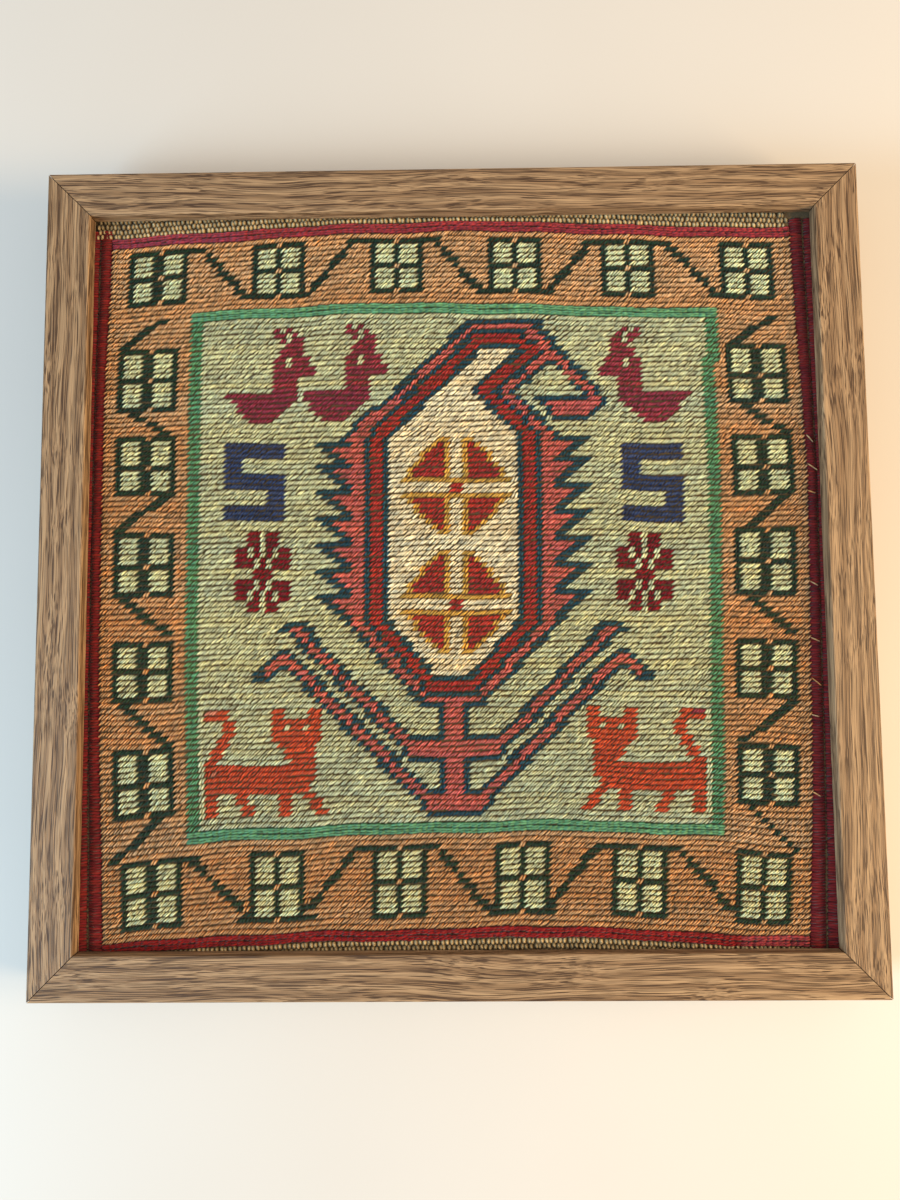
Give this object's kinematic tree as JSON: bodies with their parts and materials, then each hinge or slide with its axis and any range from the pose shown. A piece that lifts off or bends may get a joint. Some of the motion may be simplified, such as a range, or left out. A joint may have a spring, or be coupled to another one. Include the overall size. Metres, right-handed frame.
{
  "type": "kilim panel in a picture frame",
  "caption": "Flat-woven wool kilim panel held in a square mitred wooden frame, lying on its back.",
  "frame": {"origin": "middle of the frame's back, where it rests, below the centre of the woven panel", "axes": "+Z out of the woven face, +Y towards the top edge of the design, +X to the right"},
  "size_m": [0.356, 0.356, 0.03],
  "materials": {
    "frame_wood": "oiled open-pored oak, matte",
    "kilim_wool": "wrapped-weft wool in many colours",
    "backing_board": "plain brown hardboard"
  },
  "bodies": {
    "root": {"rail_top": "frame_wood", "rail_bottom": "frame_wood", "rail_left": "frame_wood", "rail_right": "frame_wood", "kilim": "kilim_wool", "backing_board": "backing_board"}
  },
  "joints": []
}
